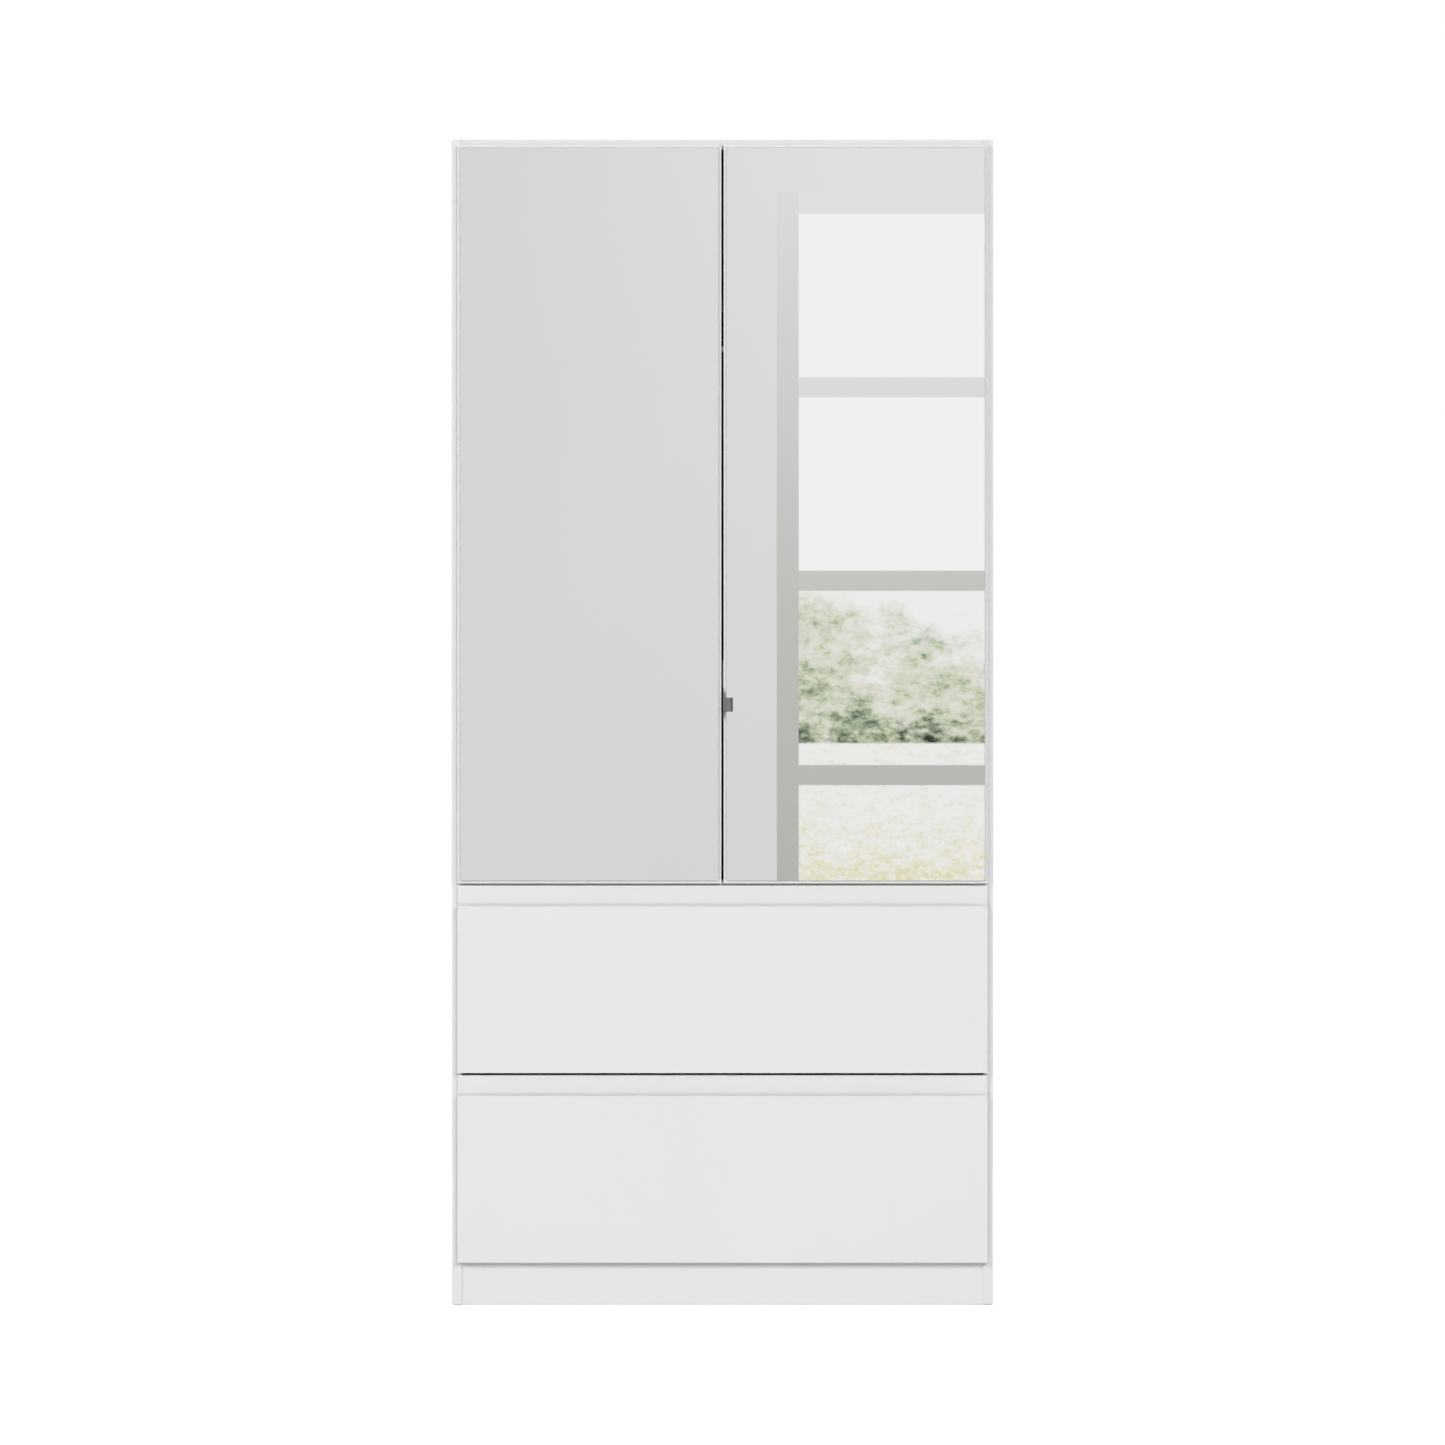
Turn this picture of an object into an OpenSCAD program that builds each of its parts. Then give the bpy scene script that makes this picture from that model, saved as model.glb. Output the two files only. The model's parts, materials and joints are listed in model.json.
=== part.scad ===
// Wardrobe with two mirrored doors above two wide drawers, built from flat boards.
// Origin: middle of the footprint, on the floor. +Z is up and the doors face -Y.

/* [Carcass] */
// Overall width, across the outsides of the side panels
body_w = 850; // [780:5:900]
// Overall height above the floor
body_h = 1830; // [1780:5:1900]
// Depth from the carcass's front edges to the nail heads behind its back panels
carcass_d = 545; // [530:5:560]
// Thickness of the carcass boards and of the door boards
board_t = 16; // [15:1:18]
// Thickness of the hardboard back panels and drawer bottoms
hardboard_t = 3; // [3:0.5:4]
// Height of the kick plate's top edge above the floor
plinth_h = 60; // [50:1:70]
// How far the kick plate stands behind the side panels' front edges
kick_recess = 2; // [1:0.5:6]
// Height of the glides under the side panels
glide_t = 1.5; // [1:0.5:3]

/* [Fronts] */
// Width of carcass edge left showing beside and above the fronts
reveal = 9; // [8:0.5:10]
// Gap between neighbouring fronts
front_gap = 3.5; // [3:0.5:4]
// Gap between the fronts' back faces and the carcass edges
edge_gap = 2; // [1.8:0.2:3]
// Thickness of the mirror glass
mirror_t = 4; // [3:1:5]
// Width of door board left showing round each mirror
mirror_inset = 3.9; // [3:0.1:8]

/* [Drawers] */
// Height of each drawer front
drawer_front_h = 294; // [280:1:294]
// Height of the set-back band above each drawer front's lip
pull_h = 32.5; // [28:0.5:38]
// Width of the finger groove behind the lip, front to back
groove_w = 11; // [10:0.5:12]
// Thickness of the front lip
lip_t = 4; // [3:0.5:5]
// Depth of the finger groove below the lip's top edge
groove_depth = 26; // [20:1:32]
// Height of the drawer boxes' sides
box_h = 200; // [160:5:210]
// Length of the drawer boxes and of their runners
box_l = 500; // [450:10:500]

/* [Interior] */
// Height of the shelf's underside above the floor
shelf_z = 1560; // [1500:10:1600]
// Height of the hanging rod's centre below the shelf's underside
rod_drop = 50; // [45:1:80]
// Outside diameter of the hanging rod
rod_d = 25; // [22:1:28]

/* [Handle] */
// Height of the handle's centre above the floor
handle_z = 943; // [900:1:1000]
// Height of the plate that wraps the door's edge
spine_h = 45; // [40:1:60]
// Height of the tab on the mirror
tab_h = 22; // [18:1:30]
// How far the tab's lip stands out from the mirror
handle_out = 13; // [11:0.5:15]

/* [Hidden] */
$fn = 48;

// Colours
white = "#e9e9e8";
steel_grey = "#a9abad";
mirror_grey = "#c9d0d3";
plastic_white = "#f2f2ee";
plastic_grey = "#8c8f92";
beech = "#d6b98c";

// Radial clearance round screws and dowels in their holes
fit_gap = 0.05;
// Clearance of each side of a slot round the part that slides in it
slot_gap = 0.2;
// Extra length that lets a cut pass through a face
over = 1;

// Depth stack, front to back along Y
front_t = board_t + mirror_t;
overall_d = carcass_d + edge_gap + front_t + handle_out;
y_back = overall_d / 2;
y_edge = y_back - carcass_d;
y_door_back = y_edge - edge_gap;
y_face = y_door_back - front_t;
y_board_face = y_face + mirror_t;
nail_head_t = 0.8;
board_d = carcass_d - hardboard_t - nail_head_t;
y_board_end = y_edge + board_d;

// Widths along X
inner_x = body_w / 2 - board_t;
front_x = body_w / 2 - reveal;
door_w = front_x - front_gap / 2;

// Heights along Z; the lowest front covers part of the bottom panel's edge
front_lap = 8.5;
lower_front_z = plinth_h + board_t - front_lap;
upper_front_z = lower_front_z + drawer_front_h + front_gap;
door_z = upper_front_z + drawer_front_h + front_gap;
door_h = body_h - reveal - door_z;
middle_z = door_z - front_gap / 2 - board_t / 2;
top_z = body_h - board_t;

// Cam fittings: a lock under each panel end holds a bolt screwed into the side panel
panel_z = [plinth_h, middle_z, top_z];
cam_y = [y_edge + 50, y_edge + 490];
dowel_y = [y_edge + 82, y_edge + 458];
cam_d = 15;
cam_h = 12.5;
cam_in = 24;
bolt_in_side = 10;
bolt_head_d = 7;
bolt_head_h = 5;
bolt_head_from = cam_in - 3;
bolt_shank_d = 5.5;
cam_slot_end = 5;
cross_l = 8;
cross_w = 1.6;
cross_depth = 1.2;
dowel_d = 8;
dowel_l = 30;
dowel_in_side = 10;
plinth_dowel_z = [18, 44];
rail_y = [y_edge + kick_recess + board_t / 2, y_board_end - 20];

// Shelf, pins and rod
shelf_clear = 0.5;
shelf_setback = 22;
shelf_d = 490;
pin_d = 5;
pin_hole_l = 9;
pin_out = 8;
pin_collar_d = 7;
pin_collar_t = 0.4;
pin_pitch = 32;
pin_spare_rows = 2;
pin_y = [y_edge + shelf_setback + 45, y_edge + shelf_setback + 445];
rod_z = shelf_z - rod_drop;
rod_y = y_edge + 270;
rod_wall = 1.2;
rod_end_gap = 0.5;
socket_t = 3;
socket_d = 56;
socket_depth = 15;
socket_collar = 3;
socket_screw_z = 21;
socket_seat_d = 9;
socket_seat = 0.5;

// Hinges, in their own frame: u runs inwards from the side panel, v forwards from its edge
hinge_end = 100;
hinge_z = [door_z + hinge_end, door_z + door_h / 2, door_z + door_h - hinge_end];
arm_pin = [26, 5];
cup_pin = [5, 5];
link_bend = [10, 9.5];
pin_r = 1.5;
pin_clear = 0.05;
pin_press = 0.02;
pin_l = 14;
pin_end = 0.6;
link_h = 7.4;
link_w = 3;
eye_r = 2.6;
lug_z = 4;
lug_t = 2;
cheek_t = 2.4;
lug_rim = 0.2;
cup_from_edge = 22.5;
cup_u = cup_from_edge - (front_x - inner_x);
cup_r = 17.4;
cup_bore_r = 17.5;
cup_wall = 1;
cup_depth = 11.4;
cup_bore_depth = 11.5;
flange_t = 1;
flange_r = 18.2;
cup_screw_u = cup_u + 9.5;
cup_screw_z = 22.5;
cup_screw_d = 3.5;
cup_screw_l = 12;
cup_screw_head = [7, 1];
ear_u = [cup_screw_u - 7, cup_screw_u + 5];
ear_rim = 6;
arm_u = [17, 27];
arm_v = [-66, -12];
neck_u = [23, 29];
arm_half_h = lug_z + cheek_t;
arm_sheet = 1.5;
neck_lap = 4;
link_slot_v = [arm_pin[1] - 8, arm_pin[1] + 4];
adjuster_v = -49;
adjuster_d = 6.5;
adjuster_t = 1.2;
adjuster_slot = [4.8, 1];
adjuster_slot_from = 0.5;
plate_t = 2.5;
plate_wing_h = 26;
plate_wing_l = 14;
block_end = 4;
plate_screw_v = -37;
plate_screw_z = 16;
plate_screw_d = 5;
plate_screw_l = 12;
plate_screw_head = [9, 1.8];

// Drawer runners: cross-section distances from the side panel, and heights from the centre
runner_w = 12.7;
runner_sheet = 1.2;
runner_front = y_edge + 3;
runner_rise = 52;
runner_screw_y = [runner_front + 34, runner_front + 386];
runner_screw_d = 4;
runner_screw_l = 12;
runner_screw_head = [7.5, 1.6];
outer_half_h = 22.8;
outer_reach = 10.8;
middle_half_h = 20.2;
middle_web_s = 5;
middle_flange_s = [2.2, 9.6];
drawer_half_h = 16;
drawer_flange_s = 7.4;
cage_l = 200;
cage_start = 5;
cage_gap = 0.3;
cage_seat = 0.1;
outer_cage_s = [3, 9];
inner_cage_s = [7.6, 9.4];
middle_runner_l = box_l - 20;

// Drawer boxes
box_lift = 24;
box_side_t = 12;
box_side_x = inner_x - runner_w;
box_in_x = box_side_x - box_side_t;
bottom_lift = 8;
groove_in = 6;
groove_clear = 0.2;
box_cam_z = [40, 160];
box_cam_h = 9.5;
box_cam_slot_end = 3;
box_bolt_in_front = 11;
box_bolt_in_cam = 2;
box_bolt_d = 5;
box_screw_z = [24, 165];
box_screw_d = 3.5;
box_screw_l = 35;
box_screw_head = [7, 1.4];
box_runner_screw_l = 10;
bottom_stop = 1;

// Wall brackets under the top panel, against the back panel
bracket_x = 300;
bracket_w = 20;
bracket_leg = 40;
bracket_t = 2;
bracket_hole_d = 5.5;
bracket_hole_z = top_z - 24;
bracket_screw_in = [12, 26];
back_hole_d = 9;

// Nails through the back panels
nail_d = 1.6;
nail_head_d = 4;
nail_l = 14;
nail_rows = 6;
nail_end = 30;
back_inset = 4;
back_split = 1;

// Glides and bumpers
glide_w = 12;
glide_l = 40;
glide_y = [y_edge + 40, y_board_end - 40];
glide_peg_d = 4;
glide_peg_l = 10;
bumper_d = 6;
bumper_t = 1.7;
bumper_x = 60;
bumper_rim = 0.2;
buffer_z = 970;
buffer_h = 42;
buffer_t = 1;
buffer_setback = 1;

// Handle
handle_t = 1.2;
handle_x = front_gap / 2 - handle_t;
spine_sagitta = 3.8;
tab_end_x = 13;
wrap_r = 3.3;
lip_angle = 83;
lip_bend_r = 1;
bend_steps = 9;
rear_tab_w = 22;
rear_tab_h = 28;
handle_screw_x = 13;
handle_screw_z = 8;
handle_screw_d = 3;
handle_screw_l = 12;
handle_screw_head = [6, 1.4];

// ---------- Helpers ----------

// The child, and its mirror image on the other side of the wardrobe
module each_side() {
    children();
    mirror([1, 0, 0]) children();
}

// A crosshead recess, cut from a face at z = 0
module cross_recess(l, w, depth) {
    for (turn = [0, 90])
        rotate([0, 0, turn]) translate([-l / 2, -w / 2, -depth]) cube([l, w, depth + over]);
}

// A screw along Z: its head, [diameter, height], stands on z = 0 and its shank runs down
module screw(d, l, head) {
    difference() {
        cylinder(d = head[0], h = head[1]);
        translate([0, 0, head[1]]) cross_recess(head[0] * 3 / 5, head[0] / 6, head[1] * 3 / 5);
    }
    translate([0, 0, -l]) cylinder(d = d, h = l);
}

// The hole that a screw's shank fills, through the surface at z = 0
module screw_hole(d, l) {
    translate([0, 0, -l - fit_gap]) cylinder(d = d + 2 * fit_gap, h = l + fit_gap + over);
}

// Turns a child that points along +Z so that it points inwards from the left side panel
module facing_in() {
    rotate([0, 90, 0]) children();
}

// ---------- Fastener places, each used by the fastener and by the boards it goes into ----------

// Panel ends on the left side panel's inner face, at each cam or dowel row
module left_panel_ends(rows) {
    for (z = panel_z)
        for (y = rows)
            translate([-inner_x, y, z + board_t / 2]) children();
}

module left_plinth_ends() {
    for (z = plinth_dowel_z)
        for (y = rail_y)
            translate([-inner_x, y, z]) children();
}

module left_plate_screws() {
    for (z = hinge_z)
        for (dz = [-plate_screw_z, plate_screw_z])
            translate([-inner_x, y_edge - plate_screw_v, z + dz]) facing_in() children();
}

module left_runner_screws() {
    for (z = [lower_front_z, upper_front_z])
        for (y = runner_screw_y)
            translate([-inner_x, y, z + box_lift + runner_rise]) facing_in() children();
}

module left_socket_screws() {
    for (dz = [-socket_screw_z, socket_screw_z])
        translate([-inner_x, rod_y, rod_z + dz]) facing_in() children();
}

// Nails enter the boards' rear edges; the child points along +Y
module nail_places() {
    row_gap = (top_z - plinth_h - 2 * nail_end) / nail_rows;
    for (x = [-inner_x - board_t / 2, inner_x + board_t / 2])
        for (k = [0 : nail_rows])
            translate([x, y_board_end, plinth_h + nail_end + k * row_gap])
                rotate([-90, 0, 0]) children();
    for (x = [-inner_x / 2, 0, inner_x / 2])
        for (z = [plinth_h + board_t / 2, middle_z + board_t / 4, middle_z + board_t * 3 / 4,
                  top_z + board_t / 4])
            translate([x, y_board_end, z]) rotate([-90, 0, 0]) children();
}

module nail_holes() {
    nail_places() translate([0, 0, -nail_l]) cylinder(d = nail_d + 2 * fit_gap, h = 2 * nail_l);
}

module bracket_places() {
    for (x = [-bracket_x, bracket_x])
        translate([x, y_board_end, top_z]) children();
}

module bracket_screw_places() {
    bracket_places()
        for (dy = bracket_screw_in)
            translate([0, -dy, -bracket_t]) rotate([180, 0, 0]) children();
}

// The child stands in the left hinges' frame: X inwards, Y forwards
module left_hinges() {
    for (z = hinge_z)
        translate([-inner_x, y_edge, z]) mirror([0, 1, 0]) children();
}

module cup_screw_places() {
    for (dz = [-cup_screw_z, cup_screw_z])
        translate([cup_screw_u, edge_gap - flange_t, dz]) rotate([90, 0, 0]) children();
}

module handle_screw_places() {
    for (dz = [-handle_screw_z, handle_screw_z])
        translate([handle_screw_x, y_door_back + handle_t, handle_z + dz])
            rotate([-90, 0, 0]) children();
}

// ---------- Carcass ----------

module left_side_board() {
    difference() {
        translate([-body_w / 2, y_edge, glide_t]) cube([board_t, board_d, body_h - glide_t]);
        left_panel_ends(cam_y)
            rotate([0, -90, 0]) cylinder(d = bolt_head_d + 2 * fit_gap, h = bolt_in_side + fit_gap);
        left_panel_ends(dowel_y) dowel_hole();
        left_plinth_ends() dowel_hole();
        left_plate_screws() screw_hole(plate_screw_d, plate_screw_l);
        left_runner_screws() screw_hole(runner_screw_d, runner_screw_l);
        left_socket_screws() screw_hole(runner_screw_d, runner_screw_l);
        for (y = pin_y)
            for (k = [-pin_spare_rows : pin_spare_rows])
                translate([-inner_x, y, shelf_z - pin_d / 2 + k * pin_pitch])
                    rotate([0, -90, 0]) cylinder(d = pin_d + 2 * fit_gap, h = pin_hole_l + fit_gap);
        nail_holes();
        for (y = glide_y)
            translate([-inner_x - board_t / 2, y, glide_t - over])
                cylinder(d = glide_peg_d + 2 * fit_gap, h = glide_peg_l + over + fit_gap);
    }
}

module left_side_panel() {
    color(white) left_side_board();
}

module right_side_panel() {
    color(white) mirror([1, 0, 0]) left_side_board();
}

// A dowel's hole, half in the side panel and half in the board that meets it
module dowel_hole() {
    translate([-dowel_in_side - fit_gap, 0, 0])
        facing_in() cylinder(d = dowel_d + 2 * fit_gap, h = dowel_l + 2 * fit_gap);
}

// A level board between the side panels, with its cam and dowel holes
module cross_board(z) {
    difference() {
        translate([-inner_x, y_edge, z]) cube([2 * inner_x, board_d, board_t]);
        each_side()
            for (y = cam_y)
                translate([-inner_x, y, z + board_t / 2]) {
                    translate([-over, 0, 0])
                        facing_in() cylinder(d = bolt_head_d + over, h = cam_in + over);
                    translate([cam_in, 0, -board_t / 2 - over])
                        cylinder(d = cam_d + 2 * fit_gap, h = cam_h + over + fit_gap);
                }
        each_side()
            for (y = dowel_y)
                translate([-inner_x, y, z + board_t / 2]) dowel_hole();
        nail_holes();
    }
}

module top_panel() {
    color(white) difference() {
        cross_board(top_z);
        bracket_screw_places() screw_hole(runner_screw_d, runner_screw_l + bracket_t);
    }
}

module middle_panel() {
    color(white) cross_board(middle_z);
}

module bottom_panel() {
    color(white) cross_board(plinth_h);
}

// An upright rail under the bottom panel, standing on edge at row y
module plinth_rail(y) {
    difference() {
        translate([-inner_x, y - board_t / 2, glide_t])
            cube([2 * inner_x, board_t, plinth_h - glide_t]);
        each_side() left_plinth_ends() dowel_hole();
    }
}

module kick_plate() {
    color(white) plinth_rail(rail_y[0]);
}

module rear_plinth_rail() {
    color(white) plinth_rail(rail_y[1]);
}

// A hardboard back panel between two heights
module back_board(z0, z1) {
    difference() {
        translate([-body_w / 2 + back_inset, y_board_end, z0])
            cube([body_w - 2 * back_inset, hardboard_t, z1 - z0]);
        nail_holes();
    }
}

module upper_back_panel() {
    color(white) difference() {
        back_board(middle_z + board_t / 2 + back_split / 2, body_h - back_inset);
        bracket_places()
            translate([0, -over, bracket_hole_z - top_z])
                rotate([-90, 0, 0]) cylinder(d = back_hole_d, h = hardboard_t + 2 * over);
    }
}

module lower_back_panel() {
    color(white) back_board(plinth_h + back_inset, middle_z + board_t / 2 - back_split / 2);
}

module back_panel_nails() {
    color(steel_grey) nail_places() {
        translate([0, 0, -nail_l + hardboard_t]) cylinder(d = nail_d, h = nail_l);
        translate([0, 0, hardboard_t]) cylinder(d = nail_head_d, h = nail_head_t);
    }
}

module shelf() {
    color(white)
        translate([-inner_x + shelf_clear, y_edge + shelf_setback, shelf_z])
            cube([2 * (inner_x - shelf_clear), shelf_d, board_t]);
}

module shelf_pins() {
    color(steel_grey) each_side()
        for (y = pin_y)
            translate([-inner_x - pin_hole_l, y, shelf_z - pin_d / 2]) facing_in() {
                cylinder(d = pin_d, h = pin_hole_l + pin_out);
                translate([0, 0, pin_hole_l]) cylinder(d = pin_collar_d, h = pin_collar_t);
            }
}

module hanging_rod() {
    rod_l = 2 * (inner_x - socket_t - rod_end_gap);
    color(steel_grey) translate([-rod_l / 2, rod_y, rod_z]) facing_in() difference() {
        cylinder(d = rod_d, h = rod_l);
        translate([0, 0, -over]) cylinder(d = rod_d - 2 * rod_wall, h = rod_l + 2 * over);
    }
}

module rod_sockets() {
    color(plastic_white) each_side() difference() {
        translate([-inner_x, rod_y, rod_z]) facing_in() {
            cylinder(d = socket_d, h = socket_t);
            cylinder(d = rod_d + 2 * socket_collar, h = socket_depth);
        }
        translate([-inner_x + socket_t, rod_y, rod_z])
            facing_in() cylinder(d = rod_d + 2 * fit_gap, h = socket_depth);
        left_socket_screws() translate([0, 0, socket_t]) screw_hole(runner_screw_d, socket_t);
        left_socket_screws() translate([0, 0, socket_t - socket_seat])
            cylinder(d = socket_seat_d, h = over);
    }
}

// ---------- Fasteners in the carcass ----------

module cabinet_screws() {
    color(steel_grey) each_side() {
        left_plate_screws() translate([0, 0, plate_t])
            screw(plate_screw_d, plate_screw_l + plate_t, plate_screw_head);
        left_runner_screws() translate([0, 0, runner_sheet])
            screw(runner_screw_d, runner_screw_l + runner_sheet, runner_screw_head);
        left_socket_screws() translate([0, 0, socket_t - socket_seat])
            screw(runner_screw_d, runner_screw_l + socket_t - socket_seat, runner_screw_head);
    }
}

// The disc that draws a bolt into a panel; its slot takes the bolt's head
module cam_lock() {
    slot_w = bolt_head_d + 2 * slot_gap;
    difference() {
        cylinder(d = cam_d, h = cam_h);
        translate([-cam_d / 2 - over, -slot_w / 2, (board_t - slot_w) / 2])
            cube([cam_d / 2 + cam_slot_end + over, slot_w, cam_h]);
        mirror([0, 0, 1]) cross_recess(cross_l, cross_w, cross_depth);
    }
}

module cam_locks() {
    color(steel_grey) each_side() left_panel_ends(cam_y)
        translate([cam_in, 0, -board_t / 2]) cam_lock();
}

module cam_bolts() {
    color(steel_grey) each_side() left_panel_ends(cam_y) facing_in() {
        translate([0, 0, -bolt_in_side]) cylinder(d = bolt_head_d, h = bolt_in_side);
        cylinder(d = bolt_shank_d, h = bolt_head_from);
        translate([0, 0, bolt_head_from]) cylinder(d = bolt_head_d, h = bolt_head_h);
    }
}

module wooden_dowel() {
    translate([-dowel_in_side, 0, 0]) facing_in() cylinder(d = dowel_d, h = dowel_l);
}

module wooden_dowels() {
    color(beech) each_side() {
        left_panel_ends(dowel_y) wooden_dowel();
        left_plinth_ends() wooden_dowel();
    }
}

module wall_brackets() {
    color(steel_grey) difference() {
        bracket_places() {
            translate([-bracket_w / 2, -bracket_leg, -bracket_t])
                cube([bracket_w, bracket_leg, bracket_t]);
            translate([-bracket_w / 2, -bracket_t, -bracket_leg])
                cube([bracket_w, bracket_t, bracket_leg]);
        }
        bracket_screw_places() screw_hole(runner_screw_d, bracket_t);
        bracket_places()
            translate([0, -bracket_t - over, bracket_hole_z - top_z])
                rotate([-90, 0, 0]) cylinder(d = bracket_hole_d, h = bracket_t + 2 * over);
    }
}

module wall_bracket_screws() {
    color(steel_grey) bracket_screw_places()
        screw(runner_screw_d, runner_screw_l + bracket_t, runner_screw_head);
}

module floor_glides() {
    color(plastic_white) each_side()
        for (y = glide_y)
            translate([-inner_x - board_t / 2, y, 0]) {
                translate([-glide_w / 2, -(glide_l - glide_w) / 2, 0])
                    cube([glide_w, glide_l - glide_w, glide_t]);
                for (end = [-1, 1])
                    translate([0, end * (glide_l - glide_w) / 2, 0])
                        cylinder(d = glide_w, h = glide_t);
                cylinder(d = glide_peg_d, h = glide_t + glide_peg_l);
            }
}

module door_bumpers() {
    // The pads stand on the strip of carcass edge that the doors overlap
    overlap = board_t - reveal;
    pad_z = [middle_z + board_t - bumper_d / 2 - bumper_rim, top_z + overlap / 2];
    color(plastic_white)
        for (x = [-bumper_x, bumper_x])
            for (z = pad_z)
                translate([x, y_edge, z]) rotate([90, 0, 0]) cylinder(d = bumper_d, h = bumper_t);
}

// ---------- Hinges ----------

// A straight bar of a link's outline between two points
module bar(from, to, w) {
    run = to - from;
    translate(from)
        rotate(atan2(run[1], run[0]))
            translate([0, -w / 2]) square([norm(run), w]);
}

// The hole that grips a pin in a cheek or a lug
module pin_hole(place) {
    translate([place[0], place[1], -pin_l / 2]) cylinder(r = pin_r + pin_press, h = pin_l);
}

// One cranked arm, with its two cheeks and the pin they hold
module hinge_arm() {
    arm_l = arm_v[1] - arm_v[0];
    difference() {
        union() {
            translate([arm_u[0], arm_v[0], -arm_half_h])
                cube([arm_u[1] - arm_u[0], arm_l, 2 * arm_half_h]);
            translate([neck_u[0], arm_v[1] - neck_lap, -arm_half_h])
                cube([neck_u[1] - neck_u[0], arm_pin[1] - arm_v[1] + neck_lap, 2 * arm_half_h]);
            translate([arm_pin[0], arm_pin[1], -arm_half_h])
                cylinder(r = neck_u[1] - arm_pin[0], h = 2 * arm_half_h);
        }
        // Inside of the folded sheet, open towards the mounting plate
        translate([arm_u[0] - over, arm_v[0] + arm_sheet, -arm_half_h + arm_sheet])
            cube([arm_u[1] - arm_u[0] - arm_sheet + over, arm_l - 2 * arm_sheet,
                  2 * (arm_half_h - arm_sheet)]);
        // Slot between the cheeks, where the link turns
        translate([neck_u[0] - over, link_slot_v[0], -lug_z])
            cube([neck_u[1] - neck_u[0] + 2 * over, link_slot_v[1] - link_slot_v[0], 2 * lug_z]);
        pin_hole(arm_pin);
    }
    translate([arm_pin[0], arm_pin[1], -pin_l / 2]) cylinder(r = pin_r, h = pin_l);
    // Adjusting screw on top of the arm
    translate([arm_u[1], adjuster_v, 0]) facing_in() difference() {
        cylinder(d = adjuster_d, h = adjuster_t);
        translate([-adjuster_slot[0] / 2, -adjuster_slot[1] / 2, adjuster_slot_from])
            cube([adjuster_slot[0], adjuster_slot[1], over]);
    }
}

module left_hinge_arms() {
    color(steel_grey) left_hinges() hinge_arm();
}

module right_hinge_arms() {
    color(steel_grey) mirror([1, 0, 0]) left_hinges() hinge_arm();
}

// The plate on the side panel, with the block that the arm clips over
module mounting_plate() {
    block_half_h = arm_half_h - arm_sheet - slot_gap;
    block_u = arm_u[1] - arm_sheet;
    difference() {
        union() {
            translate([0, plate_screw_v - plate_wing_l / 2, -plate_wing_h])
                cube([plate_t, plate_wing_l, 2 * plate_wing_h]);
            translate([0, arm_v[0] + block_end, -block_half_h])
                cube([block_u, arm_v[1] - arm_v[0] - 2 * block_end, 2 * block_half_h]);
        }
        for (dz = [-plate_screw_z, plate_screw_z])
            translate([-over, plate_screw_v, dz])
                facing_in() cylinder(d = plate_screw_d + 2 * fit_gap, h = plate_t + 2 * over);
    }
}

module left_mounting_plates() {
    color(steel_grey) left_hinges() mounting_plate();
}

module right_mounting_plates() {
    color(steel_grey) mirror([1, 0, 0]) left_hinges() mounting_plate();
}

// The cranked link between the arm's pin and the cup's pin
module hinge_link() {
    linear_extrude(height = link_h, center = true) difference() {
        union() {
            bar(arm_pin, link_bend, link_w);
            bar(link_bend, cup_pin, link_w);
            translate(link_bend) circle(d = link_w);
            translate(arm_pin) circle(r = eye_r);
            translate(cup_pin) circle(r = eye_r);
        }
        translate(arm_pin) circle(r = pin_r + pin_clear);
        translate(cup_pin) circle(r = pin_r + pin_clear);
    }
}

module left_hinge_links() {
    color(steel_grey) left_hinges() hinge_link();
}

module right_hinge_links() {
    color(steel_grey) mirror([1, 0, 0]) left_hinges() hinge_link();
}

// The pressed cup in the door's back, its flange, and the two lugs that hold its pin
module hinge_cup() {
    floor_v = edge_gap + cup_depth - cup_wall;
    lug_r = eye_r + lug_rim;
    difference() {
        union() {
            translate([cup_u, edge_gap, 0])
                rotate([-90, 0, 0]) cylinder(r = cup_r, h = cup_depth);
            translate([cup_u, edge_gap - flange_t, 0])
                rotate([-90, 0, 0]) cylinder(r = flange_r, h = flange_t);
            translate([ear_u[0], edge_gap - flange_t, -cup_screw_z - ear_rim])
                cube([ear_u[1] - ear_u[0], flange_t, 2 * (cup_screw_z + ear_rim)]);
        }
        translate([cup_u, edge_gap - flange_t - over, 0])
            rotate([-90, 0, 0])
                cylinder(r = cup_r - cup_wall, h = floor_v - edge_gap + flange_t + over);
        cup_screw_places() screw_hole(cup_screw_d, cup_screw_l);
    }
    for (low = [-lug_z - lug_t, lug_z])
        difference() {
            translate([0, 0, low]) linear_extrude(height = lug_t) {
                translate(cup_pin) circle(r = lug_r);
                translate([cup_pin[0] - lug_r, cup_pin[1]])
                    square([2 * lug_r, floor_v - cup_pin[1]]);
            }
            pin_hole(cup_pin);
        }
    translate([cup_pin[0], cup_pin[1], -lug_z - lug_t - pin_end])
        cylinder(r = pin_r, h = 2 * (lug_z + lug_t + pin_end));
}

module left_hinge_cups() {
    color(steel_grey) left_hinges() hinge_cup();
}

module right_hinge_cups() {
    color(steel_grey) mirror([1, 0, 0]) left_hinges() hinge_cup();
}

module left_cup_screws() {
    color(steel_grey) left_hinges()
        cup_screw_places() screw(cup_screw_d, cup_screw_l, cup_screw_head);
}

module right_cup_screws() {
    color(steel_grey) mirror([1, 0, 0]) left_hinges()
        cup_screw_places() screw(cup_screw_d, cup_screw_l, cup_screw_head);
}

// ---------- Doors ----------

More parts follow.
